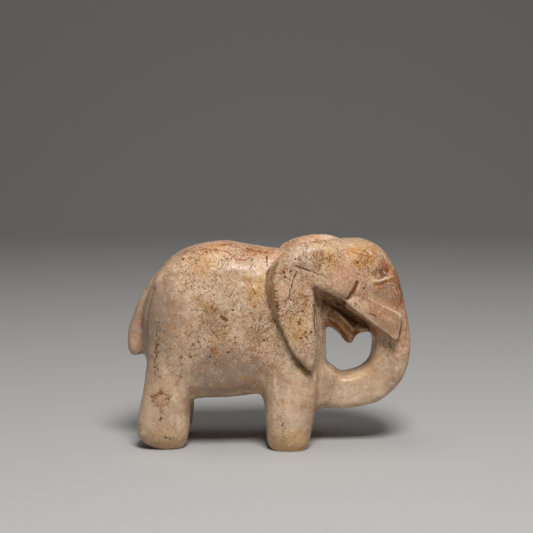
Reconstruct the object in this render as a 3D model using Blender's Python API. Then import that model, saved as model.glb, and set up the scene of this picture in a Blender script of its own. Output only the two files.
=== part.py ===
"""A small elephant carved from one block of soapstone, standing on its four feet.

The trunk curls down and back to the forelegs and leaves a round opening behind it. The whole
figure is one solid: limbs, ears, tusks, jaw and tail are all cut from the same stone. It faces
+X, stands on Z = 0, and its left and right halves mirror each other across Y = 0.
"""

import math

import bmesh
import bpy
from mathutils import Vector

# Height of the crown of the head above the floor. Pose, proportions and carving are in percent of it.
FIGURE_HEIGHT = 0.092
P = FIGURE_HEIGHT / 100
# The middle of the figure's length, in percent, which is put at the origin.
MIDDLE = -0.39

# The block-out is skinned and rubbed smooth. The crisper carving then goes on, and is rubbed less.
BLOCK_GRID = 1.05 * P
BLOCK_WEAR = 16
CARVING_GRID = 0.85 * P
CARVING_WEAR = 4
# The share of the skin's faces that is kept.
FACE_SHARE = 0.065
RING_POINTS = 40
STEPS_BETWEEN = 5

STONE_COLOUR = (0.56, 0.43, 0.31, 1)
STONE_ROUGHNESS = 0.42

X_AXIS, Y_AXIS, Z_AXIS = Vector((1, 0, 0)), Vector((0, 1, 0)), Vector((0, 0, 1))
BOTH_SIDES = (-1, 1)


def clear_scene():
    for obj in list(bpy.data.objects):
        bpy.data.objects.remove(obj)


def smooth_through(knots, steps=STEPS_BETWEEN):
    """Rows of numbers on a smooth curve through the knots, which are rows of numbers too."""
    ends = [knots[0], *knots, knots[-1]]
    rows = []
    for before, start, end, after in zip(ends, ends[1:], ends[2:], ends[3:]):
        for step in range(steps):
            t = step / steps
            weights = (
                (-t + 2 * t**2 - t**3) / 2,
                (2 - 5 * t**2 + 3 * t**3) / 2,
                (t + 4 * t**2 - 3 * t**3) / 2,
                (-(t**2) + t**3) / 2,
            )
            columns = zip(before, start, end, after)
            rows.append([sum(w * v for w, v in zip(weights, four)) for four in columns])
    return [*rows, list(knots[-1])]


def oval(centre, side, up, squareness, squareness_below=None):
    """A ring of points round centre. Squareness 2 is an ellipse, and more is squarer."""
    ring = []
    for index in range(RING_POINTS):
        angle = 2 * math.pi * index / RING_POINTS
        across, along = math.cos(angle), math.sin(angle)
        power = 2 / (squareness_below if squareness_below and along < 0 else squareness)
        across = math.copysign(abs(across) ** power, across)
        along = math.copysign(abs(along) ** power, along)
        ring.append(centre + side * across + up * along)
    return ring


def add_standing_loft(bm, knots):
    """Upright rings across the plane of symmetry, from rows as in TORSO."""
    rings = []
    for x, low, high, half_width, above, below in smooth_through(knots):
        centre = Vector((x, 0, (low + high) / 2))
        rings.append(oval(centre, Y_AXIS * half_width, Z_AXIS * (high - low) / 2, above, below))
    add_loft(bm, rings)


def placed(point):
    """From percent of the figure's height to metres."""
    return (point - MIDDLE * X_AXIS) * P


def add_loft(bm, rings):
    """Skins the rings, which have as many points each, and closes both ends."""
    loops = []
    for ring in rings:
        verts = [bm.verts.new(placed(point)) for point in ring]
        loops.append([bm.edges.new((a, b)) for a, b in zip(verts, verts[1:] + verts[:1])])
    for first, second in zip(loops, loops[1:]):
        bmesh.ops.bridge_loops(bm, edges=first + second)
    for end in (loops[0], loops[-1]):
        bmesh.ops.contextual_create(bm, geom=end)


# Rump to chest: x, underside, top, half width, squareness above and below the middle.
TORSO = (
    (-62.0, 50, 64, 5, 2.0, 2.0),
    (-60.5, 41, 72, 13, 2.1, 2.2),
    (-57.0, 33, 80, 19, 2.2, 2.6),
    (-51.0, 27, 88.5, 23, 2.3, 3.4),
    (-41.0, 23.4, 95.6, 25.2, 2.4, 4.0),
    (-24.0, 23.8, 99.4, 26, 2.6, 4.2),
    (-8.0, 25.4, 97.0, 25.4, 2.7, 4.2),
    (4.0, 26.8, 95.4, 24.2, 2.8, 4.0),
    (14.0, 28, 94, 23.4, 2.8, 3.4),
    (22.0, 30, 88, 19, 2.2, 2.6),
    (25.6, 32, 76, 14, 2.2, 2.2),
    (27.6, 37, 64, 7, 2.0, 2.0),
)

# Sole to haunch or shoulder: z, rear edge, front edge, inner face, outer face.
HIND_LEG = (
    (-2, -54.0, -43.6, 8.0, 15.6),
    (0, -57.2, -42.2, 6.4, 18.2),
    (3, -62.0, -40.3, 5.0, 21.0),
    (8, -64.6, -38.9, 4.0, 23.0),
    (16, -63.9, -38.3, 4.0, 23.4),
    (26, -61.8, -37.5, 4.0, 23.6),
    (38, -59.6, -35.4, 4.0, 23.4),
    (50, -58.0, -33.0, 5.0, 22.6),
    (62, -54.0, -34.0, 7.0, 20.6),
    (70, -50.0, -38.0, 9.0, 17.0),
)
FORE_LEG = (
    (-2, 2.0, 16.5, 7.0, 23.0),
    (0, 0.2, 18.0, 5.6, 24.6),
    (3, -1.4, 19.4, 4.5, 25.8),
    (8, -2.0, 20.2, 4.0, 26.4),
    (16, -2.2, 21.4, 4.0, 26.4),
    (24, -3.2, 22.6, 4.0, 26.2),
    (34, -4.6, 23.2, 4.0, 25.4),
    (46, -4.0, 23.0, 5.0, 23.8),
    (58, -2.0, 22.0, 7.0, 21.0),
    (68, 0.0, 20.0, 9.0, 19.0),
)
LEG_SQUARENESS = 2.5


def add_leg(bm, knots, side):
    rings = []
    for z, rear, front, inner, outer in smooth_through(knots):
        centre = Vector(((rear + front) / 2, side * (inner + outer) / 2, z))
        rings.append(oval(centre, X_AXIS * (front - rear) / 2, Y_AXIS * (outer - inner) / 2, LEG_SQUARENESS))
    add_loft(bm, rings)


# Nape to forehead: rows as in TORSO. The underside is the lower edge of the cheeks.
HEAD = (
    (12.0, 85.0, 91.0, 16.0, 2.0, 2.0),
    (16.0, 83.0, 94.5, 21.5, 2.2, 2.6),
    (21.0, 79.8, 96.5, 22.6, 2.4, 3.0),
    (25.0, 76.8, 97.8, 22.0, 2.5, 3.4),
    (30.0, 75.0, 99.0, 20.8, 2.5, 3.6),
    (34.5, 72.4, 99.7, 19.8, 2.5, 3.6),
    (38.0, 70.6, 100.0, 19.2, 2.5, 3.6),
    (46.0, 65.0, 99.8, 17.8, 2.4, 3.4),
    (52.0, 60.5, 97.0, 15.8, 2.4, 3.0),
    (57.0, 57.0, 92.6, 14.0, 2.4, 2.8),
    (61.0, 54.5, 86.0, 12.0, 2.4, 2.6),
    (64.0, 53.0, 78.0, 9.6, 2.3, 2.4),
    (66.0, 54.0, 69.0, 6.4, 2.2, 2.2),
    (66.8, 57.0, 64.0, 3.0, 2.0, 2.0),
)

# The roof of the mouth, narrower than the cheeks, from the throat to the trunk.
PALATE = (
    (19.0, 73.0, 84.0, 14.0, 2.2, 2.6),
    (26.0, 70.4, 82.0, 12.6, 2.2, 2.6),
    (33.0, 68.6, 82.0, 12.0, 2.2, 2.6),
    (40.0, 64.6, 80.0, 11.6, 2.2, 2.6),
    (47.0, 59.4, 76.0, 11.4, 2.2, 2.6),
    (53.0, 55.4, 72.0, 11.4, 2.2, 2.4),
    (59.0, 53.0, 68.0, 10.0, 2.2, 2.2),
)

# The stone left between the jaws, at the back of the slot of the mouth.
TONGUE = (
    (20.0, 60.0, 80.0, 6.0, 2.0, 2.0),
    (34.0, 58.0, 78.0, 5.2, 2.0, 2.0),
    (44.0, 56.0, 72.0, 4.6, 2.0, 2.0),
    (54.0, 54.0, 66.0, 6.0, 2.0, 2.0),
)

# The trunk's line, from inside the head round to the forelegs: x, z, half depth, half width.
TRUNK = (
    (52.0, 72.0, 12.0, 12.0),
    (56.4, 63.0, 10.5, 11.8),
    (59.2, 54.5, 9.3, 11.6),
    (59.5, 46.0, 9.1, 11.4),
    (57.2, 36.7, 9.0, 11.2),
    (50.5, 29.3, 8.8, 11.0),
    (41.0, 25.9, 8.6, 11.0),
    (33.0, 25.5, 8.6, 11.3),
    (28.4, 26.8, 10.2, 12.4),
    (24.8, 28.0, 12.2, 13.6),
    (21.0, 28.4, 12.8, 15.0),
    (15.0, 27.2, 9.6, 16.0),
)
TRUNK_SQUARENESS = 4.4


def add_along_path(bm, knots, squareness):
    """Rings square to a line in the plane of symmetry: x, z, half depth, half width."""
    rows = smooth_through(knots)
    rings = []
    for index, (x, z, half_depth, half_width) in enumerate(rows):
        before, after = rows[max(index - 1, 0)], rows[min(index + 1, len(rows) - 1)]
        along = Vector((after[0] - before[0], 0, after[1] - before[1])).normalized()
        outwards = Y_AXIS.cross(along)
        rings.append(oval(Vector((x, 0, z)), Y_AXIS * half_width, outwards * half_depth, squareness))
    add_loft(bm, rings)


# The tail's line down the rump, in the same terms as the trunk's.
TAIL = (
    (-49.0, 85.0, 4.0, 4.5),
    (-55.0, 76.5, 4.6, 5.2),
    (-60.0, 66.5, 5.0, 5.8),
    (-63.4, 57.0, 5.2, 6.2),
    (-64.4, 50.5, 5.2, 6.4),
    (-64.4, 46.5, 4.8, 6.2),
    (-63.8, 44.0, 3.6, 5.0),
)
TAIL_SQUARENESS = 2.4

# The lower jaw, from the throat to where it meets the trunk: rows as in TORSO.
JAW = (
    (20.0, 61.0, 72.0, 12.0, 3.0, 1.7),
    (27.4, 57.6, 70.4, 11.0, 3.6, 1.6),
    (33.4, 53.6, 67.0, 10.2, 4.2, 1.5),
    (37.0, 49.4, 63.6, 9.2, 4.2, 1.5),
    (40.0, 48.0, 60.8, 8.0, 4.0, 1.5),
    (41.8, 51.6, 59.0, 6.6, 2.8, 1.6),
    (45.0, 53.6, 58.4, 5.8, 2.2, 1.9),
    (52.0, 54.0, 62.0, 7.0, 2.0, 2.0),
)

# The lengthwise edges of a tusk, a faceted bar along the side of the trunk, each from the root to
# the blunt end: x, distance from the plane of symmetry, z. The last two are inside the head.
TUSK_EDGES = (
    ((40.0, 17.8, 77.0), (64.0, 14.4, 64.4)),
    ((36.5, 19.6, 71.4), (61.8, 17.0, 51.6)),
    ((35.0, 11.5, 68.4), (59.0, 11.0, 51.2)),
    ((40.0, 4.0, 70.0), (60.0, 4.0, 58.0)),
    ((42.0, 5.0, 76.0), (62.5, 5.0, 65.0)),
)


def add_tusk(bm, side):
    ends = zip(*TUSK_EDGES)
    add_loft(bm, [[Vector((x, side * out, z)) for x, out, z in end] for end in ends])


# The ear's edge seen from the side, as x and z, from its root over the top and down to its tip.
EAR_EDGE = (
    (40.0, 91.0),
    (38.4, 96.8),
    (32.0, 100.4),
    (22.0, 100.8),
    (11.4, 98.4),
    (2.8, 92.0),
    (-1.6, 83.0),
    (-1.8, 73.0),
    (1.2, 62.0),
    (6.0, 52.0),
    (11.8, 43.6),
    (19.6, 37.6),
    (22.2, 43.0),
    (23.0, 54.0),
    (22.6, 65.0),
    (21.4, 74.0),
    (21.4, 79.2),
    (25.2, 76.6),
    (30.4, 74.8),
    (34.6, 72.2),
    (39.0, 72.0),
    (42.4, 78.0),
    (42.6, 85.0),
)
EAR_MIDDLE = Vector((18.0, 0, 86.0))
# The inner end of the plate, sunk in the head: how far out it starts, and how much smaller it is.
EAR_ROOT = (9.0, 0.25)
# The worn rim: how far in from the edge, and how much lower than the face it is there.
EAR_RIM = ((0.0, 4.6), (1.3, 2.2), (3.0, 0.7), (5.5, 0.0))
EAR_FACE_BANDS = (0.5, 0.9)
# The ear's face stands this far out at the lobe, and draws in towards the crown and the cheek.
EAR_REACH = 28.0
EAR_DRAWN_IN_ABOVE = (60.0, 0.0037)
EAR_DRAWN_IN_BEFORE = (8.0, 0.0073)


def ear_face(x, z):
    height, rise = EAR_DRAWN_IN_ABOVE
    front, sweep = EAR_DRAWN_IN_BEFORE
    return EAR_REACH - rise * max(z - height, 0) ** 2 - sweep * max(x - front, 0) ** 2


def add_ear(bm, side):
    """The ear's lobe and the cheek before it are one raised plate."""
    edge = [Vector((x, 0, z)) for x, z in smooth_through([*EAR_EDGE, EAR_EDGE[0]])[:-1]]
    root_depth, root_share = EAR_ROOT
    rings = [[point.lerp(EAR_MIDDLE, root_share) + Y_AXIS * side * root_depth for point in edge]]
    for inwards, lower in EAR_RIM:
        ring = [point + (EAR_MIDDLE - point).normalized() * inwards for point in edge]
        for point in ring:
            point.y = side * (ear_face(point.x, point.z) - lower)
        rings.append(ring)
    for share in EAR_FACE_BANDS:
        ring = [point.lerp(EAR_MIDDLE, share) for point in edge]
        for point in ring:
            point.y = side * ear_face(point.x, point.z)
        rings.append(ring)
    add_loft(bm, rings)


# Chisel notches, each a hollow pyramid: its deepest point and then the corners of its opening, as
# x, distance from the plane of symmetry and z.
EYE = (
    (54.2, 12.4, 82.2),
    ((49.4, 16.4, 80.4), (58.0, 13.4, 82.8), (56.2, 13.8, 87.4), (51.8, 15.2, 88.0)),
)
TUSK_CREASE = (
    (39.2, 17.2, 75.0),
    ((42.4, 18.6, 82.0), (38.4, 19.4, 75.4), (35.6, 19.8, 70.6), (38.6, 19.6, 71.4), (40.8, 19.2, 75.8)),
)
MOUTH_SLOT = (
    (41.0, 3.6, 62.0),
    (
        (31.6, 10.6, 67.1),
        (36.6, 10.6, 65.8),
        (41.9, 10.4, 62.1),
        (47.9, 10.4, 57.5),
        (41.6, 10.4, 58.3),
        (35.8, 10.6, 63.6),
    ),
)


def add_notch(bm, notch, side):
    """The pyramid goes on as far again outside the stone, so that it cuts right through the skin."""
    deepest, opening = notch
    apex = Vector(deepest)
    corners = [apex + 2 * (Vector(corner) - apex) for corner in opening]
    verts = [bm.verts.new(placed(Vector((x, side * out, z)))) for x, out, z in [apex, *corners]]
    tip, base = verts[0], verts[1:]
    bm.faces.new(base)
    for first, second in zip(base, base[1:] + base[:1]):
        bm.faces.new((first, second, tip))


def new_object(name, bm):
    bmesh.ops.recalc_face_normals(bm, faces=bm.faces)
    mesh = bpy.data.meshes.new(name)
    bm.to_mesh(mesh)
    bm.free()
    obj = bpy.data.objects.new(name, mesh)
    bpy.context.scene.collection.objects.link(obj)
    return obj


def skin_and_wear(obj, grid, passes):
    """Joins the overlapping forms of a mesh into one skin, and rubs it smooth."""
    skin = obj.modifiers.new("skin", "REMESH")
    skin.mode = "VOXEL"
    skin.voxel_size = grid
    wear = obj.modifiers.new("wear", "SMOOTH")
    wear.factor = 0.5
    wear.iterations = passes


def block_out():
    """The large rounded forms, rubbed into one another."""
    bm = bmesh.new()
    add_standing_loft(bm, TORSO)
    add_standing_loft(bm, HEAD)
    for side in BOTH_SIDES:
        add_leg(bm, HIND_LEG, side)
        add_leg(bm, FORE_LEG, side)
    add_along_path(bm, TRUNK, TRUNK_SQUARENESS)
    block = new_object("block", bm)
    skin_and_wear(block, BLOCK_GRID, BLOCK_WEAR)
    return block


def worn_mesh(obj):
    """The object's mesh as its modifiers leave it, and the object itself goes."""
    graph = bpy.context.evaluated_depsgraph_get()
    bm = bmesh.new()
    bm.from_object(obj, graph)
    bpy.data.objects.remove(obj)
    return bm


def as_cutter(name, bm):
    cutter = new_object(name, bm)
    cutter.hide_render = True
    cutter.display_type = "WIRE"
    return cutter


def floor_cutter():
    """The stone below the soles, which is cut off flat."""
    bm = bmesh.new()
    bmesh.ops.create_cube(bm, size=200 * P)
    bmesh.ops.translate(bm, verts=bm.verts, vec=(0, 0, -100 * P))
    return as_cutter("below_the_soles", bm)


def notch_cutter():
    bm = bmesh.new()
    for side in BOTH_SIDES:
        add_notch(bm, EYE, side)
        add_notch(bm, TUSK_CREASE, side)
        add_notch(bm, MOUTH_SLOT, side)
    return as_cutter("notches", bm)


def stone():
    material = bpy.data.materials.new("soapstone")
    material.use_nodes = True
    shader = material.node_tree.nodes["Principled BSDF"]
    shader.inputs["Base Color"].default_value = STONE_COLOUR
    shader.inputs["Roughness"].default_value = STONE_ROUGHNESS
    shader.inputs["Metallic"].default_value = 0
    return material


def carve_elephant():
    """Head and trunk go on again at full size, because the rubbing of the block rounded them."""
    bm = worn_mesh(block_out())
    add_standing_loft(bm, HEAD)
    add_standing_loft(bm, PALATE)
    add_standing_loft(bm, TONGUE)
    add_along_path(bm, TRUNK, TRUNK_SQUARENESS)
    add_along_path(bm, TAIL, TAIL_SQUARENESS)
    add_standing_loft(bm, JAW)
    for side in BOTH_SIDES:
        add_tusk(bm, side)
        add_ear(bm, side)
    elephant = new_object("elephant", bm)
    skin_and_wear(elephant, CARVING_GRID, CARVING_WEAR)
    fewer = elephant.modifiers.new("fewer_faces", "DECIMATE")
    fewer.ratio = FACE_SHARE
    for name, cutter in (("flat_soles", floor_cutter()), ("chisel_notches", notch_cutter())):
        removed = elephant.modifiers.new(name, "BOOLEAN")
        removed.operation = "DIFFERENCE"
        removed.solver = "EXACT"
        removed.object = cutter
    elephant.data.materials.append(stone())
    elephant.data.shade_smooth()
    return elephant


clear_scene()
carve_elephant()
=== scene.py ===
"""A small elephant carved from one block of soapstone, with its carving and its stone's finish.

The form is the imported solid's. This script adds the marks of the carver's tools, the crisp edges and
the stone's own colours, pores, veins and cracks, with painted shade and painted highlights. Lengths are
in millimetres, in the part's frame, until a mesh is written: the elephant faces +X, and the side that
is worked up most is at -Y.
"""

import math

import bmesh
import bpy
import numpy as np
from mathutils import Euler, Matrix, Vector, noise


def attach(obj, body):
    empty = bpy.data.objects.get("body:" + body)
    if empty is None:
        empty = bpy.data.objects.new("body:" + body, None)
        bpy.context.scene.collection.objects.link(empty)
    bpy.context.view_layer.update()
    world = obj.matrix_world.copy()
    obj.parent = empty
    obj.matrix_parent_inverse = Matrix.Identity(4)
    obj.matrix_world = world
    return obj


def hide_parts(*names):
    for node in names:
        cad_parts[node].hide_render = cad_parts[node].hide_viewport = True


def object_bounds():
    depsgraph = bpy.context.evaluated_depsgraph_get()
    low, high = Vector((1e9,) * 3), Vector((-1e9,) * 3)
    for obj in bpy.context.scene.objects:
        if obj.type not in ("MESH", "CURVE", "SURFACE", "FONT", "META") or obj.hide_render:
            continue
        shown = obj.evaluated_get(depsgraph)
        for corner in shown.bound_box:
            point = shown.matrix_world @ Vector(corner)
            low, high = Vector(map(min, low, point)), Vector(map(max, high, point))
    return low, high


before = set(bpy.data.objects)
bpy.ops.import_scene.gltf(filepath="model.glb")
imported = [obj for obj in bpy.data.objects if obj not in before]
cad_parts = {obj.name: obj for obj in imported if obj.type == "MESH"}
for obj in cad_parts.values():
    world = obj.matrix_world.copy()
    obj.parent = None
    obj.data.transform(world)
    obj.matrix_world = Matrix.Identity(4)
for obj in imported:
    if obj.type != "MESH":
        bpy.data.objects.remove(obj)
solid_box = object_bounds()


# The carved block. The figure is one piece of soapstone, sawn, rasped and rubbed down by hand. Its
# skin is the solid's, with curved faces in place of flat ones and a fine even grid to carve in.
MM = 0.001
SAME_PLACE = 0.001
SKIN_GRID = 0.68
RUBBING = 2
EDGE_CUTS = 2

block = bmesh.new()
block.from_mesh(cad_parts["elephant"].data)
bmesh.ops.remove_doubles(block, verts=block.verts, dist=SAME_PLACE * MM)
bmesh.ops.subdivide_edges(block, edges=block.edges, cuts=EDGE_CUTS, smooth=1.0, use_grid_fill=True)
bmesh.ops.triangulate(block, faces=block.faces)
rough = bpy.data.meshes.new("rough")
block.to_mesh(rough)
block.free()

elephant = bpy.data.objects.new("elephant_carving", rough)
bpy.context.scene.collection.objects.link(elephant)
skinning = elephant.modifiers.new("skinning", "REMESH")
skinning.mode = "VOXEL"
skinning.voxel_size = SKIN_GRID * MM
bpy.context.view_layer.update()
skin = bpy.data.meshes.new_from_object(elephant.evaluated_get(bpy.context.evaluated_depsgraph_get()))
elephant.modifiers.clear()
elephant.data = skin
bpy.data.meshes.remove(rough)

count = len(skin.vertices)
place = np.empty(count * 3)
skin.vertices.foreach_get("co", place)
place = place.reshape(count, 3) / MM
edges = np.empty(len(skin.edges) * 2, dtype=np.int64)
skin.edges.foreach_get("vertices", edges)
edges = edges.reshape(-1, 2)
ends = np.concatenate([edges[:, 0], edges[:, 1]])
others = np.concatenate([edges[:, 1], edges[:, 0]])
neighbours = np.bincount(ends, minlength=count)


def averaged(values):
    """Each value becomes the mean of its neighbours' on the skin."""
    columns = values.reshape(count, -1)
    means = [np.bincount(ends, weights=column[others], minlength=count) for column in columns.T]
    return (np.stack(means, axis=1) / neighbours[:, None]).reshape(values.shape)


def rubbed(values, times):
    """Each value moves half way to the mean of its neighbours', so many times over."""
    for _ in range(times):
        values = (values + averaged(values)) / 2
    return values


def outward():
    """The skin's normals, for the places as they now are."""
    skin.vertices.foreach_set("co", (place * MM).ravel())
    skin.update()
    normals = np.empty(count * 3)
    skin.vertex_normals.foreach_get("vector", normals)
    return normals.reshape(count, 3)


place = rubbed(place, RUBBING)


# Carved lines. The carver went over the main edges and creases again with a knife: the ears' rims,
# the cheeks, the mouth, the tusks' edges and ends, the eyelids, the lips and the grooves by the tail.
# Each is a line of points on the near side with a depth and a width, cut alike on both sides.
EAR_GROOVE = (
    (2.0, -17.5, 84.5),
    (-0.5, -19.2, 79.8),
    (-1.0, -21.4, 73.0),
    (0.4, -23.0, 64.6),
    (2.9, -23.7, 56.8),
    (5.1, -23.8, 52.4),
    (8.9, -23.3, 44.6),
    (13.7, -22.8, 39.0),
    (18.5, -21.2, 35.0),
)
EAR_WALL = (
    (3.5, -20.8, 83.0),
    (1.3, -23.0, 76.3),
    (2.1, -24.8, 67.0),
    (4.2, -25.3, 58.3),
    (7.6, -24.6, 48.1),
    (12.0, -23.1, 40.2),
    (16.8, -21.9, 35.1),
)
EAR_CREST = (
    (4.2, -22.6, 80.4),
    (4.2, -24.6, 71.0),
    (5.4, -25.4, 62.0),
    (8.6, -25.6, 52.0),
    (13.6, -25.2, 44.0),
)
EAR_LEDGE = ((12.4, -22.7, 81.7), (19.7, -22.2, 79.3), (25.0, -21.3, 77.3))
EAR_FOLD = ((12.1, -23.4, 79.8), (10.6, -24.5, 74.0), (9.1, -25.2, 68.7))
EAR_SLIT = ((19.9, -23.5, 65.8), (20.0, -24.4, 57.6), (20.5, -24.3, 52.8))
CHEEK_CREASE = ((38.9, -17.0, 74.4), (37.4, -16.6, 70.4), (35.8, -16.8, 67.8), (33.6, -18.2, 66.2))
TUSK_CREST = ((38.0, -16.6, 70.0), (45.0, -15.6, 66.4), (51.0, -14.7, 63.3), (58.8, -13.0, 59.4))
TUSK_SEAT = ((40.8, -16.0, 71.6), (45.6, -15.2, 69.0), (51.6, -14.0, 65.9), (60.2, -10.4, 61.6))
TUSK_FOOT = ((34.2, -18.0, 65.5), (42.0, -17.2, 59.4), (50.0, -16.4, 53.1), (57.0, -15.6, 47.7))
TUSK_END = ((60.2, -10.6, 59.0), (59.2, -11.0, 53.0), (57.6, -11.2, 47.0))
MOUTH_SLOT = ((29.0, -7.6, 62.3), (34.2, -5.1, 59.0), (38.3, -3.8, 56.0), (44.5, -6.0, 52.3))
LOWER_LIP = (
    (29.6, -9.0, 60.0),
    (31.8, -8.8, 58.2),
    (35.4, -7.9, 54.4),
    (37.6, -7.0, 52.0),
    (40.1, -4.0, 53.3),
)
EYELID = ((46.0, -15.2, 74.6), (50.5, -13.6, 75.3), (55.0, -10.4, 76.0))
EYE_SLIT = ((46.4, -15.1, 72.9), (49.6, -14.0, 73.2), (52.6, -12.8, 74.2))
SOCKET = ((46.4, -14.6, 77.6), (49.6, -13.2, 78.2), (53.4, -11.0, 78.6))
LOOP_CORNER = ((27.4, -11.0, 35.6), (27.4, 0.0, 35.6))
TAIL_GROOVE = (
    (-50.2, -13.0, 70.8),
    (-52.4, -13.0, 66.5),
    (-53.5, -14.2, 60.0),
    (-53.8, -14.6, 53.6),
    (-54.0, -13.0, 47.5),
)
BACK_EDGE = ((-33.0, -18.6, 80.0), (-20.0, -19.4, 81.0), (-7.8, -19.0, 81.1), (0.0, -20.1, 79.0))
FLANK = ((-30.0, -24.0, 38.0), (-10.0, -24.0, 36.0))
# A line, how far it is cut in (less than nothing for an edge that stands out), and its half width.
CARVED_LINES = (
    (EAR_GROOVE, 0.45, 0.8),
    (EAR_GROOVE, 0.9, 2.4),
    (EAR_CREST, -0.3, 1.4),
    (EAR_LEDGE, 0.3, 0.8),
    (EAR_FOLD, 0.35, 0.7),
    (EAR_SLIT, 0.45, 0.7),
    (CHEEK_CREASE, 0.9, 0.8),
    (CHEEK_CREASE[2:], 0.5, 1.3),
    (TUSK_CREST, -0.35, 0.8),
    (TUSK_SEAT, 0.3, 1.4),
    (TUSK_FOOT, -0.35, 0.8),
    (TUSK_END, 0.6, 0.8),
    (MOUTH_SLOT, 1.3, 0.9),
    (LOWER_LIP, -0.9, 0.8),
    (EYELID, -0.45, 0.8),
    (EYE_SLIT, 0.5, 0.8),
    (SOCKET, 0.8, 2.0),
    (LOOP_CORNER, 0.8, 2.6),
    (TAIL_GROOVE, 0.6, 1.3),
    (BACK_EDGE, -0.4, 2.6),
    (FLANK, 0.7, 6.0),
)


def distance_to(line, points):
    """How far each point is from a line of straight runs."""
    nearest = np.full(len(points), np.inf)
    for start, end in zip(np.array(line), np.array(line[1:])):
        run = end - start
        share = np.clip((points - start) @ run / (run @ run), 0, 1)
        nearest = np.minimum(nearest, np.linalg.norm(points - start - share[:, None] * run, axis=1))
    return nearest


def near_side(points):
    """The points with those of the far side mirrored on to the near one."""
    return points * (1, 0, 1) - np.abs(points) * (0, 1, 0)


# The cheeks' lower edges and the ears' front edges are left round instead: a line, how far from it
# the stone is rubbed, and how many times.
ROUNDED_LINES = (
    (((22.6, -22.2, 76.6), (29.1, -21.1, 69.8), (33.0, -19.0, 67.0)), 3.4, 50),
    (((20.6, -23.6, 66.0), (20.6, -24.2, 50.0), (21.0, -23.4, 36.0), (22.0, -20.6, 20.0)), 2.4, 24),
)
for line, width, times in ROUNDED_LINES:
    share = np.exp(-((distance_to(line, near_side(place)) / width) ** 2))[:, None]
    place += (rubbed(place, times) - place) * share

normals = outward()
cut = np.zeros(count)
for line, depth, width in CARVED_LINES:
    cut += depth * np.exp(-((distance_to(line, near_side(place)) / width) ** 2))
place -= normals * cut[:, None]


# Tool marks. A rasp and wet grit left the whole surface gently uneven, so that light runs over it
# in patches, with shallower ripples between.
HOLLOW_SIZE, HOLLOW_DEPTH = 9.0, 0.3
RIPPLE_SIZE, RIPPLE_DEPTH = 3.0, 0.12


def uneven(size, depth):
    """How far each point of the skin stands out or in, in patches of a size."""
    return depth * np.array([noise.noise(Vector(point) / size) for point in place])[:, None]


place += outward() * (uneven(HOLLOW_SIZE, HOLLOW_DEPTH) + uneven(RIPPLE_SIZE, RIPPLE_DEPTH))

# The soles are rubbed flat on a board, and nothing else comes down to them.
SOLE_BAND = 0.45
place[place[:, 2] < SOLE_BAND, 2] = 0.0
place[:, :2] = np.clip(place[:, :2], np.array(solid_box[0][:2]) / MM, np.array(solid_box[1][:2]) / MM)
place[:, 2] = np.clip(place[:, 2], 0.0, solid_box[1][2] / MM)

# How deep each point lies is kept as the skin's hollowness, from 0 on the crests to 1 in the creases.
# The finish darkens the creases with it as painted shade, and lightens the crests as a painted
# highlight.
CREASE_REACH = 5
CREASE_SCALE = 2.6

normals = outward()
sunk = ((rubbed(place, CREASE_REACH) - place) * normals).sum(axis=1)
hollowness = np.clip(0.5 + sunk * CREASE_SCALE, 0, 1)
skin.attributes.new("hollowness", "FLOAT", "POINT").data.foreach_set("value", hollowness)
skin.polygons.foreach_set("use_smooth", np.ones(len(skin.polygons), dtype=bool))
skin.update()


# The stone. Pale beige soapstone, polished to a satin sheen: pinkish on the back and head, ochre and
# red-brown in patches, with pores, veins, scratches and a few cracks. Grey-lilac painted shade lies low
# on the flanks, and painted shade and highlights lie along the carving.
class Wire:
    """One output in the stone's node tree. Sums written on wires add Math nodes."""

    def __init__(self, finish, socket):
        self.finish = finish
        self.socket = socket

    def output(self, name):
        return Wire(self.finish, self.socket.node.outputs[name])

    def maths(self, operation, first, second=0.0):
        return self.finish.node("ShaderNodeMath", {"operation": operation}, {0: first, 1: second})

    def __add__(self, other):
        return self.maths("ADD", self, other)

    def __radd__(self, other):
        return self.maths("ADD", other, self)

    def __sub__(self, other):
        return self.maths("SUBTRACT", self, other)

    def __rsub__(self, other):
        return self.maths("SUBTRACT", other, self)

    def __mul__(self, other):
        return self.maths("MULTIPLY", self, other)

    def __rmul__(self, other):
        return self.maths("MULTIPLY", other, self)

    def __abs__(self):
        return self.maths("ABSOLUTE", self)


class Finish:
    """A material, to which node() adds any node: its settings first, and then its sockets."""

    def __init__(self, name):
        self.material = bpy.data.materials.new(name)
        self.material.use_nodes = True
        self.tree = self.material.node_tree
        self.shader = self.tree.nodes["Principled BSDF"]

    def fill(self, node, sockets):
        for name, value in sockets.items():
            if isinstance(value, Wire):
                self.tree.links.new(value.socket, node.inputs[name])
            else:
                node.inputs[name].default_value = value

    def node(self, kind, settings=None, sockets=None, output=0):
        node = self.tree.nodes.new(kind)
        for setting, value in (settings or {}).items():
            setattr(node, setting, value)
        self.fill(node, sockets or {})
        return Wire(self, node.outputs[output])

    def vector(self, operation, first, second, output=0):
        sockets = {0: first, 1: second}
        return self.node("ShaderNodeVectorMath", {"operation": operation}, sockets, output)

    def moved(self, where, travel):
        return self.vector("ADD", where, (travel, travel, travel))

    def mix(self, share, first, second):
        return self.node("ShaderNodeMix", {"data_type": "RGBA"}, {0: share, 6: first, 7: second}, 2)

    def rise(self, value, low, high):
        """0 below low, 1 above high and smooth between. Turned round where low is the greater."""
        sockets = {"Value": value, "From Min": low, "From Max": high}
        return self.node("ShaderNodeMapRange", {"interpolation_type": "SMOOTHSTEP"}, sockets)

    def cloud(self, where, size, detail=2.0, roughness=0.5, distortion=0.0, output="Fac"):
        """Noise around 0.5, whose patches are about size across."""
        sockets = {"Vector": where, "Scale": 1 / size, "Detail": detail, "Roughness": roughness}
        return self.node("ShaderNodeTexNoise", None, {**sockets, "Distortion": distortion}, output)

    def painted(self, name):
        return self.node("ShaderNodeAttribute", {"attribute_name": name}, output="Fac")


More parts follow.
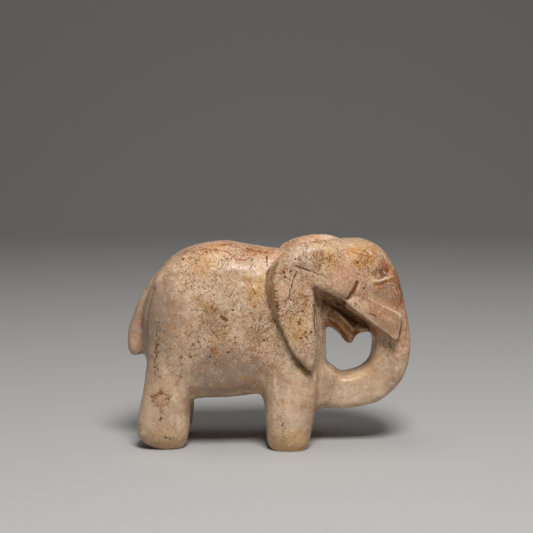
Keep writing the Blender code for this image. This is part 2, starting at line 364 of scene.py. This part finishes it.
stone = Finish("soapstone")
place_in_metres = stone.node("ShaderNodeTexCoord", output="Object")
spot = stone.vector("MULTIPLY", place_in_metres, (1 / MM, 1 / MM, 1 / MM))
axes = stone.node("ShaderNodeSeparateXYZ", None, {0: spot})
along, across, up = axes.output("X"), axes.output("Y"), axes.output("Z")
mirrored = stone.node("ShaderNodeCombineXYZ", None, {0: along, 1: 0.0 - abs(across), 2: up})
side_view = stone.node("ShaderNodeCombineXYZ", None, {0: along, 1: up})
NEAR_SIDE_FROM, NEAR_SIDE_FULL = -3.0, -6.0
near = stone.rise(across, NEAR_SIDE_FROM, NEAR_SIDE_FULL)

# Patches keep their place but have ragged edges.
WANDER = 22.0
wander = stone.vector("SUBTRACT", stone.cloud(spot, 11.0, 5.0, 0.7, output="Color"), (0.5, 0.5, 0.5))
ragged = stone.vector("ADD", mirrored, stone.vector("MULTIPLY", wander, (WANDER, WANDER, WANDER)))

BEIGE = (0.585, 0.40, 0.255, 1)
PALE = (0.77, 0.59, 0.42, 1)
DULL = (0.41, 0.27, 0.165, 1)
PINK = (0.60, 0.325, 0.205, 1)
ROSE = (0.37, 0.21, 0.125, 1)
OCHRE = (0.48, 0.215, 0.045, 1)
GOLD = (0.58, 0.34, 0.105, 1)
RUST = (0.30, 0.08, 0.022, 1)
LILAC = (0.29, 0.20, 0.145, 1)
BROWN = (0.22, 0.10, 0.035, 1)
AMBER = (0.21, 0.075, 0.006, 1)
OLIVE = (0.20, 0.115, 0.035, 1)
UMBER = (0.10, 0.03, 0.002, 1)
DIRT_AND_SHADE = (0.06, 0.015, 0.001, 1)

# The ground: clouds of a size, detail, roughness and distortion, the levels between which they
# show, their strength and their colour.
GROUND_CLOUDS = (
    (16.0, 4.0, 0.65, 0.0, 0.38, 0.62, 1.0, DULL),
    (5.0, 5.0, 0.7, 0.6, 0.48, 0.68, 0.7, PALE),
    (22.0, 4.0, 0.65, 0.0, 0.5, 0.66, 0.5, PINK),
)
colour = BEIGE
for size, detail, roughness, distortion, low, high, strength, tint in GROUND_CLOUDS:
    level = stone.cloud(spot, size, detail, roughness, distortion)
    colour = stone.mix(stone.rise(level, low, high) * strength, colour, tint)

# Patches of other colours: middle, reach, colour and strength. The lilac ones low on the flanks, on the
# haunches and on the tail are painted shade.
PATCHES = (
    ((-20.0, -4.0, 92.0), 20.0, PINK, 0.5),
    ((8.0, -6.0, 86.0), 16.0, PINK, 0.65),
    ((36.0, -16.0, 77.0), 12.0, PINK, 0.85),
    ((16.0, -10.0, 91.0), 11.0, PINK, 0.85),
    ((-58.0, -5.0, 54.0), 13.0, PINK, 0.5),
    ((-25.0, -16.0, 86.0), 8.0, GOLD, 0.6),
    ((-3.5, -22.5, 72.0), 8.0, GOLD, 0.6),
    ((41.5, -14.5, 86.5), 7.5, OCHRE, 0.85),
    ((25.0, -19.0, 87.0), 8.5, GOLD, 0.6),
    ((11.0, -25.0, 54.0), 8.0, GOLD, 0.6),
    ((53.0, -15.0, 59.5), 7.0, GOLD, 0.4),
    ((56.0, -8.6, 72.0), 10.0, RUST, 0.85),
    ((56.0, -10.0, 69.0), 7.0, RUST, 0.5),
    ((60.0, -9.0, 48.0), 10.0, PINK, 0.6),
    # Lilac painted shade on the haunch.
    ((-50.0, -18.0, 62.0), 15.0, LILAC, 0.7),
    ((54.0, -11.0, 67.0), 11.0, ROSE, 0.95),
    ((57.5, -8.5, 70.5), 7.0, BROWN, 0.35),
    ((50.0, -12.8, 79.0), 5.0, RUST, 0.6),
    ((33.5, -7.0, 55.0), 9.0, OCHRE, 0.5),
    # Lilac painted shade low on the flank, on the haunch and on the tail.
    ((-20.0, -23.0, 34.0), 15.5, LILAC, 1.0),
    ((-8.0, -22.0, 36.0), 8.0, LILAC, 0.55),
    ((-50.0, -18.0, 48.0), 14.0, LILAC, 0.55),
    ((-60.0, -4.0, 58.0), 11.0, LILAC, 0.45),
    ((-46.0, -20.0, 3.0), 8.0, GOLD, 0.35),
    ((10.0, -22.0, 3.0), 9.0, GOLD, 0.45),
    ((38.0, -8.0, 29.0), 5.0, GOLD, 0.5),
    ((14.0, -22.0, 87.0), 12.0, DULL, 0.95),
    ((50.0, -15.5, 58.0), 11.0, PINK, 0.75),
    ((51.0, -15.5, 57.0), 12.0, ROSE, 0.85),
    ((6.0, -23.0, 17.0), 11.0, PALE, 0.5),
    ((36.0, -10.0, 22.0), 12.0, PALE, 0.4),
    ((-4.0, -7.0, 88.0), 7.0, OCHRE, 0.4),
)
for middle, reach, tint, strength in PATCHES:
    away = stone.vector("DISTANCE", ragged, middle, "Value")
    colour = stone.mix(stone.rise(away, reach * 1.25, reach * 0.45) * strength, colour, tint)

# The grain is lively on the upper body and calm on the legs and the haunches' backs. It lies calmer
# too on the tusks, cheeks, brow, haunches and parts of the flanks: middle, reach and how calm.
CALM_GRAIN, LIVELY_GRAIN = 0.3, 0.9
LIVELY_UP = (28.0, 50.0)
LIVELY_ALONG = (-54.0, -36.0)
CALM_PLACES = (
    ((50.0, -15.0, 58.0), 13.0, 0.75),
    ((34.0, -18.0, 73.0), 9.0, 0.5),
    ((34.0, -8.0, 91.0), 9.0, 0.6),
    ((-40.0, -20.0, 60.0), 13.0, 0.6),
    ((-14.0, -20.0, 74.0), 10.0, 0.5),
    ((-12.0, -22.0, 31.0), 9.0, 0.5),
)
lively = CALM_GRAIN + stone.rise(up, *LIVELY_UP) * stone.rise(along, *LIVELY_ALONG) * LIVELY_GRAIN
for middle, reach, calm in CALM_PLACES:
    away = stone.vector("DISTANCE", ragged, middle, "Value")
    lively = lively * (1.0 - stone.rise(away, reach * 1.2, reach * 0.6) * calm)

# Mottle and grain, down to the single crystals: the levels between which they show, and a colour.
MOTTLE_SIZE, GRAIN_SIZE = 2.4, 0.75
mottle = stone.cloud(spot, MOTTLE_SIZE, 4.0, 0.7)
grain = stone.cloud(spot, GRAIN_SIZE, 2.0, 0.8)
for low, high, strength, tint in ((0.46, 0.34, 0.3, LILAC), (0.54, 0.68, 0.3, PALE)):
    colour = stone.mix(stone.rise(mottle, low, high) * strength, colour, tint)
for low, high, strength, tint in ((0.46, 0.38, 0.45, BROWN), (0.54, 0.62, 0.38, PALE)):
    colour = stone.mix(stone.rise(grain, low, high) * lively * strength, colour, tint)

# Marks that the photo shows at certain places of the near side, each along a line of points with a
# half width and a strength. Their colour breaks up into specks and strokes.
RUST_MARKS = (
    (((-13.1, -23.5, 64.2), (-9.7, -23.5, 56.8), (-5.4, -23.1, 47.9), (-2.8, -22.7, 42.0)), 5.0, 0.44),
    (((-16.0, -23.0, 70.0), (-9.0, -22.6, 67.0)), 3.0, 0.36),
    (((-6.0, -22.8, 46.0), (3.0, -22.6, 38.5)), 4.5, 0.46),
    (((53.0, -11.0, 80.5), (56.5, -10.0, 72.0), (58.2, -10.0, 64.1)), 4.6, 0.72),
    (((7.8, -23.0, 81.0), (5.5, -23.5, 77.5)), 2.0, 0.61),
    (((-38.0, -9.0, 86.5), (-25.0, -12.0, 87.0), (-12.0, -14.0, 84.5)), 3.2, 0.43),
    (((42.0, -16.0, 68.5), (46.0, -15.6, 63.0), (51.0, -15.4, 60.5)), 1.8, 0.49),
    (((52.0, -15.0, 62.4), (57.0, -13.4, 57.0), (56.0, -14.6, 52.0)), 1.4, 0.53),
    (((-47.7, -21.5, 27.4), (-51.3, -20.7, 24.1), (-49.6, -21.3, 21.1)), 1.4, 0.8),
    (((-49.6, -21.3, 21.1), (-44.7, -21.6, 21.6)), 1.4, 0.8),
    (((-44.7, -21.6, 21.6), (-43.8, -21.6, 25.1), (-47.7, -21.5, 27.4)), 1.4, 0.8),
    (((-38.3, -22.0, 34.1), (-41.1, -21.4, 29.5)), 0.9, 0.61),
    (((-34.0, -20.0, 28.5), (-32.6, -19.2, 25.4)), 1.3, 0.71),
    (((30.0, -20.0, 83.0), (34.0, -18.6, 78.0)), 3.0, 0.39),
    (((48.4, -14.4, 75.4), (51.0, -13.4, 73.8), (49.0, -14.4, 71.6)), 1.2, 0.71),
)
OCHRE_MARKS = (
    (((-10.0, -20.6, 77.4), (-7.4, -21.7, 73.6), (-5.2, -22.3, 70.1)), 1.7, 0.78),
    (((-30.4, -22.9, 67.8), (-27.4, -23.4, 65.6), (-23.9, -23.7, 63.0)), 2.6, 0.64),
    (((-29.7, -17.2, 82.8), (-25.2, -18.8, 81.7)), 2.4, 0.64),
    (((-35.1, -13.5, 84.6), (-30.5, -17.9, 81.6)), 2.5, 0.64),
    (((-22.0, -23.8, 52.0), (-17.0, -23.8, 55.0)), 2.0, 0.53),
    (((-11.2, -22.2, 33.1), (-3.0, -19.9, 29.0)), 2.2, 0.57),
    (((0.5, -21.6, 22.2), (1.8, -22.3, 10.7)), 1.8, 0.61),
    (((2.0, -21.0, 1.5), (12.0, -22.6, 1.5), (20.0, -19.0, 1.5)), 1.8, 0.57),
    (((-58.0, -14.0, 3.5), (-48.2, -19.6, 3.6), (-37.8, -17.1, 4.7)), 1.4, 0.61),
    (((8.0, -25.4, 62.0), (10.3, -25.6, 57.0), (13.7, -25.4, 51.0)), 4.2, 0.44),
    (((13.6, -24.4, 70.0), (17.0, -24.2, 62.0)), 1.8, 0.53),
    (((19.1, -21.0, 86.0), (25.0, -19.2, 88.0), (28.0, -19.4, 84.0)), 3.4, 0.53),
    (((36.9, -13.5, 88.2), (41.2, -14.5, 85.6), (45.2, -14.1, 82.9)), 3.4, 0.68),
    (((31.1, -5.1, 32.2), (34.0, -9.9, 28.1), (40.7, -9.5, 30.3), (46.0, -9.6, 33.9)), 2.4, 0.53),
    (((46.9, -15.0, 73.7), (48.2, -14.5, 70.8)), 1.5, 1.3),
    (((52.0, -12.4, 74.6), (55.0, -10.4, 75.2)), 1.6, 1.1),
    (((48.0, -15.6, 60.0), (54.0, -14.6, 55.0)), 1.6, 0.49),
)
UMBER_MARKS = (
    (((-20.2, -23.8, 60.4), (-18.1, -23.8, 59.3)), 0.75, 1.4),
    (((-37.3, -12.3, 84.5), (-37.1, -12.3, 84.5)), 0.7, 1.6),
    (((-0.4, -14.5, 84.5), (-0.4, -19.2, 79.4)), 0.6, 0.71),
    (((-48.2, -20.1, 57.7), (-48.8, -19.9, 47.5)), 1.1, 0.44),
    (((-48.8, -19.9, 47.5), (-49.8, -19.8, 40.8), (-49.4, -20.5, 35.6)), 1.6, 0.56),
    (((6.6, -23.4, 79.4), (6.8, -23.4, 79.4)), 0.65, 1.6),
    (((9.7, -23.2, 80.2), (9.9, -23.2, 80.2)), 0.65, 1.6),
    (((7.5, -23.7, 77.7), (7.7, -23.7, 77.7)), 0.65, 1.6),
    (((3.5, -24.7, 71.3), (4.3, -25.4, 64.4), (5.1, -25.4, 58.5)), 1.4, 0.64),
    (((13.0, -25.4, 58.4), (13.4, -25.4, 57.6)), 0.6, 1.4),
    (((15.6, -25.2, 53.4), (17.2, -25.0, 49.0)), 0.7, 0.71),
    (((38.5, -16.4, 82.6), (44.4, -12.1, 87.1)), 0.7, 0.71),
    (((40.4, -14.2, 87.0), (46.4, -13.0, 82.6)), 0.6, 0.68),
    (((22.6, -19.8, 88.0), (24.0, -20.4, 84.0), (22.0, -21.2, 81.0)), 1.0, 0.61),
    (((17.0, -21.0, 86.0), (28.0, -19.5, 85.0)), 4.5, 0.35),
    (((5.3, -23.8, 16.4), (6.6, -23.9, 5.7)), 1.7, 0.38),
    (((-47.4, -21.5, 20.0), (-47.4, -21.5, 14.8)), 1.0, 0.46),
    (((-51.0, -20.7, 23.8), (-47.0, -21.5, 26.8), (-44.2, -21.6, 24.0)), 1.2, 0.46),
    (((-45.6, -20.6, 6.6), (-43.0, -20.6, 5.6)), 0.9, 0.68),
    (((-30.0, -23.0, 50.0), (-24.0, -23.8, 47.0)), 2.2, 0.43),
    (((58.4, -9.0, 72.0), (59.6, -8.4, 66.0)), 1.4, 0.57),
)
# Washes lie along the carved lines on both sides. Brown painted shade lies under the cheeks, in the
# mouth and in the eye sockets; umber painted shade in the mouth's slot, at the foot of the cheeks'
# creases, under the ears' lower rims and at the tusks' ends; painted highlights along the lips, the
# tusks' crests, the eyelids and the ears' crests. Olive dirt, darkened further as painted shade, lies
# in the grooves round the ears and by the tail, amber on the jaws, and red-brown in the cheeks' creases
# and the eyes' slits.
# Olive dirt in the ears' and tail's grooves, darkened further as painted shade.
OLIVE_GRIME_AND_SHADE = ((EAR_WALL, 1.9, 1.0), (EAR_SLIT, 0.8, 0.8), (TAIL_GROOVE, 1.6, 0.5))
# Brown painted shade under the cheeks, in the mouth and in the eye sockets.
BROWN_PAINTED_SHADE = (
    (((27.0, -9.0, 68.0), (34.0, -9.0, 63.0), (40.0, -8.0, 58.0), (45.0, -8.0, 53.0)), 6.0, 0.95),
    (((30.0, -6.0, 58.0), (35.0, -3.0, 54.0)), 5.0, 0.9),
    (SOCKET, 2.4, 0.6),
)
AMBER_WASH = ((((30.0, -9.0, 58.0), (35.0, -7.5, 52.5), (37.0, -6.0, 48.5)), 5.0, 1.1),)
# Painted highlights along the lower lips, the tusks' crests, the eyelids and the ears' crests.
PALE_PAINTED_HIGHLIGHT = (
    (LOWER_LIP, 0.9, 1.0),
    (TUSK_CREST, 0.7, 0.6),
    (EYELID[:2], 0.7, 0.9),
    (EAR_CREST[:2], 0.8, 0.6),
)
# Umber painted shade in the mouths' slots, at the cheek creases' feet, under the ears' rims and at tusk
# ends.
UMBER_PAINTED_SHADE = (
    (CHEEK_CREASE[2:], 1.1, 0.9),
    (MOUTH_SLOT, 1.3, 1.1),
    (((3.3, -24.6, 55.5), (6.0, -24.4, 49.4), (9.6, -23.6, 43.5)), 0.9, 1.05),
    (((9.6, -23.6, 43.5), (13.7, -22.5, 39.0), (17.6, -21.5, 35.4)), 0.9, 1.05),
    (TUSK_END, 0.6, 0.8),
)
RUST_WASH = ((CHEEK_CREASE, 1.0, 1.1), (EYE_SLIT, 0.9, 0.8))

# Stains, marks, painted shade and painted highlights: name, colour, how far the edges break up, how
# deep the colour is, the lines, and the points that they are laid over: mirrored ones for both sides,
# or the skin's own for the near side alone.
OVERLAY_EDGE = (0.42, 0.62)
OVERLAY_REACH = (0.02, 0.2)
STAINS_AND_PAINTED_LIGHT = (
    ("brown_painted_shade", BROWN, 0.6, 0.9, BROWN_PAINTED_SHADE, near_side(place)),
    ("amber_wash", AMBER, 0.8, 0.95, AMBER_WASH, near_side(place)),
    ("umber_painted_shade", UMBER, 0.8, 0.85, UMBER_PAINTED_SHADE, near_side(place)),
    ("pale_painted_highlight", PALE, 0.8, 0.7, PALE_PAINTED_HIGHLIGHT, near_side(place)),
    ("olive_grime_and_shade", OLIVE, 1.6, 0.75, OLIVE_GRIME_AND_SHADE, near_side(place)),
    ("rust_wash", RUST, 0.8, 0.85, RUST_WASH, near_side(place)),
    ("ochre_marks", OCHRE, 3.0, 0.55, OCHRE_MARKS, place),
    ("rust_marks", RUST, 3.4, 0.6, RUST_MARKS, place),
    ("umber_marks", UMBER, 3.2, 0.9, UMBER_MARKS, place),
)

flecks = stone.cloud(spot, 1.1, 3.0, 0.8, 0.5) - 0.5
for name, tint, breaking, depth, overlay_lines, points in STAINS_AND_PAINTED_LIGHT:
    share = np.zeros(count)
    for line, half_width, strength in overlay_lines:
        share = np.maximum(share, strength * np.exp(-((distance_to(line, points) / half_width) ** 2)))
    skin.attributes.new(name, "FLOAT", "POINT").data.foreach_set("value", share)
    overlay_share = stone.painted(name)
    shown = stone.rise(overlay_share + flecks * breaking, *OVERLAY_EDGE) * stone.rise(overlay_share, *OVERLAY_REACH)
    colour = stone.mix(shown * depth, colour, tint)

# Crazing: fine broken lines of red-brown and olive between the crystals, in clusters: spacing,
# width, the clusters' size, the level from which they show, colour and strength.
LINE_WANDER = 3.0
CRAZING = ((1.7, 0.13, 9.0, 0.50, RUST, 0.6), (2.6, 0.11, 12.0, 0.50, OLIVE, 0.8))
bend = stone.vector("MULTIPLY", wander, (LINE_WANDER, LINE_WANDER, LINE_WANDER))
bent = stone.vector("ADD", spot, bend)
crazing = 0.0
for spacing, width, cluster, gathering, tint, strength in CRAZING:
    cells = {"Vector": stone.moved(bent, spacing), "Scale": 1 / spacing}
    edge = stone.node("ShaderNodeTexVoronoi", {"feature": "DISTANCE_TO_EDGE"}, cells)
    gathered = stone.cloud(stone.moved(spot, cluster), cluster, 3.0, 0.6)
    where = stone.rise(gathered, gathering, gathering + 0.1)
    broken = stone.rise(stone.cloud(stone.moved(spot, spacing), 1.6, 2.0), 0.47, 0.56)
    line = stone.rise(edge, width, width * 0.35) * where * broken * lively
    colour = stone.mix(line * strength, colour, tint)
    crazing = line + crazing

# Hatching left by the last grit, in several directions: turn, thickness, length and colour.
HATCHING_DEPTH = 2.0
HATCHING = (
    (38.0, 0.5, 4.0, PALE, 0.5),
    (-42.0, 0.5, 2.8, RUST, 0.6),
    (50.0, 0.5, 2.6, RUST, 0.5),
    (72.0, 0.5, 3.5, PALE, 0.45),
    (-75.0, 0.45, 3.0, OLIVE, 0.75),
)
scratches = 0.0
for turn, thickness, length, tint, strength in HATCHING:
    stretch = {"Rotation": (0.0, math.radians(turn), 0.0), "Scale": (length, HATCHING_DEPTH, thickness)}
    turned = stone.node("ShaderNodeMapping", {"vector_type": "TEXTURE"}, {"Vector": spot, **stretch})
    strokes = stone.rise(stone.cloud(turned, 1.0, 1.0), 0.56, 0.64)
    where = stone.rise(stone.cloud(stone.moved(spot, turn), 7.0, 2.0), 0.53, 0.61) * lively
    colour = stone.mix(strokes * where * strength, colour, tint)
    scratches = strokes * where + scratches

# Pores, in clusters. Small ones are red-brown, and the few larger ones dark: spacing, radius in
# spacings, the level from which they show, colour and strength.
PORES = ((1.3, 0.2, 0.48, RUST, 0.75), (2.2, 0.13, 0.49, UMBER, 0.95), (4.4, 0.1, 0.44, DIRT_AND_SHADE, 0.95))
pits = 0.0
for spacing, radius, gathering, tint, strength in PORES:
    dot = stone.node("ShaderNodeTexVoronoi", None, {"Vector": bent, "Scale": 1 / spacing})
    cluster = stone.rise(stone.cloud(spot, 8.0 + spacing, 2.0, 0.6), gathering, gathering + 0.12)
    pit = stone.rise(dot, radius * 1.6, radius * 0.6) * cluster * lively
    colour = stone.mix(pit * strength, colour, tint)
    pits = pit + pits

# Veins: thin wandering lines of ochre and red-brown: spacing, thickness, colour and strength.
VEINS = ((15.0, 0.011, OCHRE, 0.85), (9.0, 0.010, RUST, 0.7), (6.0, 0.010, OCHRE, 0.7))
veins = 0.0
for spacing, thickness, tint, strength in VEINS:
    level = abs(stone.cloud(stone.moved(spot, spacing), spacing, 4.0, 0.65, 0.8) - 0.5)
    shown = stone.rise(stone.cloud(spot, spacing * 0.9, 1.0), 0.5, 0.6)
    vein = stone.rise(level, thickness, thickness * 0.2) * shown
    colour = stone.mix(vein * strength, colour, tint)
    veins = vein + veins

# Cracks, veins and scratches that the photo shows, as straight runs in the side view: start, end,
# half width, colour and depth.
STREAKS = (
    ((11.4, 82.2), (18.4, 79.6), 0.24, DIRT_AND_SHADE, 0.15),
    ((18.4, 79.6), (25.6, 77.0), 0.14, OLIVE, 0.1),
    ((12.1, 79.8), (10.4, 74.0), 0.20, DIRT_AND_SHADE, 0.12),
    ((10.4, 74.0), (9.1, 68.7), 0.18, UMBER, 0.12),
    ((19.9, 65.8), (20.0, 57.6), 0.26, DIRT_AND_SHADE, 0.15),
    ((20.0, 57.6), (20.5, 52.8), 0.22, DIRT_AND_SHADE, 0.15),
    ((-0.1, 85.5), (-0.3, 83.3), 0.32, DIRT_AND_SHADE, 0.10),
    ((-30.1, 88.6), (-23.3, 88.7), 0.13, RUST, 0.03),
    ((-23.3, 88.7), (-18.8, 88.0), 0.15, RUST, 0.03),
    ((-18.8, 88.0), (-16.6, 86.9), 0.26, RUST, 0.05),
    ((-16.6, 86.9), (-13.6, 84.8), 0.15, RUST, 0.03),
    ((-13.6, 84.8), (-9.7, 84.6), 0.2, RUST, 0.03),
    ((-26.6, 90.0), (-19.0, 90.5), 0.30, OCHRE, 0.0),
    ((-21.0, 90.7), (-14.5, 90.2), 0.16, RUST, 0.0),
    ((-9.0, 88.8), (-0.4, 87.0), 0.18, RUST, 0.0),
    ((-34.3, 85.4), (-29.3, 84.0), 0.15, OLIVE, 0.04),
    ((-29.8, 85.6), (-34.2, 82.8), 0.15, OLIVE, 0.04),
    ((-30.8, 83.8), (-34.6, 80.9), 0.15, OLIVE, 0.04),
    ((36.5, 88.3), (45.9, 85.2), 0.20, RUST, 0.04),
    ((43.2, 88.9), (38.0, 83.6), 0.18, OLIVE, 0.04),
    ((50.9, 84.6), (52.6, 79.5), 0.24, RUST, 0.04),
    ((52.6, 79.5), (51.8, 76.6), 0.35, UMBER, 0.04),
    ((57.8, 72.7), (59.2, 68.6), 0.30, RUST, 0.0),
    ((59.2, 68.6), (58.9, 64.0), 0.40, RUST, 0.0),
    ((44.4, 60.6), (47.6, 59.2), 0.18, UMBER, 0.06),
    ((-10.2, 77.6), (-7.4, 73.6), 0.22, OCHRE, 0.05),
    ((-7.4, 73.6), (-5.2, 70.1), 0.15, UMBER, 0.05),
    ((-31.4, 63.3), (-26.6, 62.4), 0.16, OLIVE, 0.04),
    ((-25.6, 55.0), (-21.8, 51.2), 0.14, UMBER, 0.05),
    ((-24.0, 53.4), (-20.6, 54.6), 0.14, OLIVE, 0.03),
)
STREAK_WANDER = 4.0
STREAK_FRAYING = 3.0
STREAK_STRENGTH = 0.85
waver = stone.vector("MULTIPLY", wander, (STREAK_WANDER, STREAK_WANDER, 0.0))
wavering = stone.vector("ADD", side_view, waver)
crack = 0.0
for start, end, half_width, tint, depth in STREAKS:
    run = Vector(end) - Vector(start)
    offset = stone.vector("SUBTRACT", wavering, (*start, 0.0))
    share = stone.vector("DOT_PRODUCT", offset, (*(run / run.length_squared), 0.0), "Value")
    share = stone.node("ShaderNodeClamp", None, {"Value": share})
    foot = stone.node("ShaderNodeVectorMath", {"operation": "SCALE"}, {0: (*run, 0.0), "Scale": share})
    away = stone.vector("DISTANCE", offset, foot, "Value") - flecks * half_width * STREAK_FRAYING
    line = stone.rise(away, half_width * 1.6, half_width * 0.8) * near
    colour = stone.mix(line * STREAK_STRENGTH, colour, tint)
    crack = line * depth + crack

# Painted shade in the creases, and a painted highlight on the crests.
hollow = stone.painted("hollowness")
colour = stone.mix(stone.rise(hollow, 0.68, 1.0) * 0.6, colour, DIRT_AND_SHADE)
colour = stone.mix(stone.rise(hollow, 0.38, 0.1) * 0.4, colour, PALE)

# What stands out from the skin and what is sunk in it, in millimetres, under a satin polish that is
# duller in the mottle, the pores and the creases.
POLISH = 0.30
GLOSS = 0.42
raised = grain * 0.05 + mottle * 0.06 + scratches * 0.02
height = raised - pits * 0.12 - veins * 0.02 - crazing * 0.04 - crack
bumps = stone.node("ShaderNodeBump", None, {"Strength": 1.0, "Distance": MM, "Height": height})
sheen = POLISH + stone.rise(mottle, 0.4, 0.65) * 0.1 + pits * 0.3 + stone.rise(hollow, 0.55, 0.9) * 0.3
stone.fill(stone.shader, {"Base Color": colour, "Roughness": sheen, "Normal": bumps})
stone.fill(stone.shader, {"Specular IOR Level": GLOSS})

skin.materials.clear()
skin.materials.append(stone.material)
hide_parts("elephant")
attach(elephant, "root")


# The floor. A wide sheet of plain pale paper, matt, laid flat under the figure. It runs back, curves
# up and goes on upwards out of sight, so that no edge shows behind the figure. Sizes are in metres.
FLOOR_HALF_WIDTH = 1.6
FLOOR_FRONT, FLOOR_BACK = -1.2, 1.0
SWEEP_RADIUS = 0.8
SWEEP_STEPS = 32
WALL_HEIGHT = 1.2
PAPER_GREY = (0.44, 0.43, 0.415, 1)
PAPER_ROUGHNESS = 0.8

sheet = bmesh.new()
corners = [sheet.verts.new((x, FLOOR_FRONT, 0.0)) for x in (-FLOOR_HALF_WIDTH, FLOOR_HALF_WIDTH)]
edge = [sheet.edges.new(corners)]


def drawn_out(edge, travel):
    """The sheet grows from the edge by the travel. Returns its new edge."""
    grown = bmesh.ops.extrude_edge_only(sheet, edges=edge)["geom"]
    reached = [item for item in grown if isinstance(item, bmesh.types.BMVert)]
    bmesh.ops.translate(sheet, verts=reached, vec=travel)
    return [item for item in grown if isinstance(item, bmesh.types.BMEdge)]


edge = drawn_out(edge, (0.0, FLOOR_BACK - FLOOR_FRONT, 0.0))
swept = bmesh.ops.spin(
    sheet,
    geom=edge,
    cent=(0.0, FLOOR_BACK, SWEEP_RADIUS),
    axis=(1.0, 0.0, 0.0),
    angle=math.radians(90),
    steps=SWEEP_STEPS,
)["geom_last"]
drawn_out([item for item in swept if isinstance(item, bmesh.types.BMEdge)], (0.0, 0.0, WALL_HEIGHT))
bmesh.ops.recalc_face_normals(sheet, faces=sheet.faces)
for face in sheet.faces:
    face.smooth = True
floor_mesh = bpy.data.meshes.new("floor")
sheet.to_mesh(floor_mesh)
sheet.free()
floor = bpy.data.objects.new("floor", floor_mesh)
bpy.context.scene.collection.objects.link(floor)

paper = Finish("pale_floor")
paper.fill(paper.shader, {"Base Color": PAPER_GREY, "Roughness": PAPER_ROUGHNESS})
floor_mesh.materials.append(paper.material)


# The light. A large soft box stands high in front of the figure and a weaker one hangs overhead,
# both turned to its middle, in a dim room that is even all round. Each has a name, a place, a
# width in metres and a power in watts.
AIM = Vector((0.0, 0.0, 0.045))
ROOM_BRIGHTNESS = 0.08
LAMPS = (
    ("lamp_front", (0.11, -0.52, 0.86), 0.34, 10.0),
    ("lamp_overhead", (-0.06, 0.05, 1.0), 0.5, 1.6),
)
for name, stand, size, power in LAMPS:
    lamp = bpy.data.lights.new(name, "AREA")
    lamp.shape = "SQUARE"
    lamp.size = size
    lamp.energy = power
    holder = bpy.data.objects.new(name, lamp)
    holder.location = stand
    holder.rotation_euler = (AIM - Vector(stand)).to_track_quat("-Z", "Y").to_euler()
    bpy.context.scene.collection.objects.link(holder)

room = bpy.data.worlds.new("room")
room.use_nodes = True
room.node_tree.nodes["Background"].inputs["Color"].default_value = (1.0, 1.0, 1.0, 1)
room.node_tree.nodes["Background"].inputs["Strength"].default_value = ROOM_BRIGHTNESS
bpy.context.scene.world = room


# The camera. It stands on a tripod to the figure's right, a little over its back, and looks slightly
# down, as in the photo. Lengths are in metres, and angles in degrees.
CAMERA_PLACE = (-0.00079, -0.600, 0.150)
CAMERA_ROUND, CAMERA_DOWN, CAMERA_ROLL = 0.5, 6.7, -0.4
SENSOR_WIDTH, FOCAL_LENGTH = 36.0, 90.8
NEAREST_SEEN = 0.01

camera_data = bpy.data.cameras.new("camera")
camera_data.sensor_width = SENSOR_WIDTH
camera_data.lens = FOCAL_LENGTH
camera_data.clip_start = NEAREST_SEEN
camera = bpy.data.objects.new("camera", camera_data)
turned = Matrix.Rotation(math.radians(CAMERA_ROUND), 4, "Z")
tilted = Euler((math.radians(90 - CAMERA_DOWN), 0.0, 0.0)).to_matrix().to_4x4()
rolled = Matrix.Rotation(math.radians(CAMERA_ROLL), 4, "Z")
camera.matrix_world = turned @ Matrix.Translation(CAMERA_PLACE) @ tilted @ rolled
bpy.context.scene.collection.objects.link(camera)
bpy.context.scene.camera = camera
bpy.context.scene.view_settings.view_transform = "Standard"
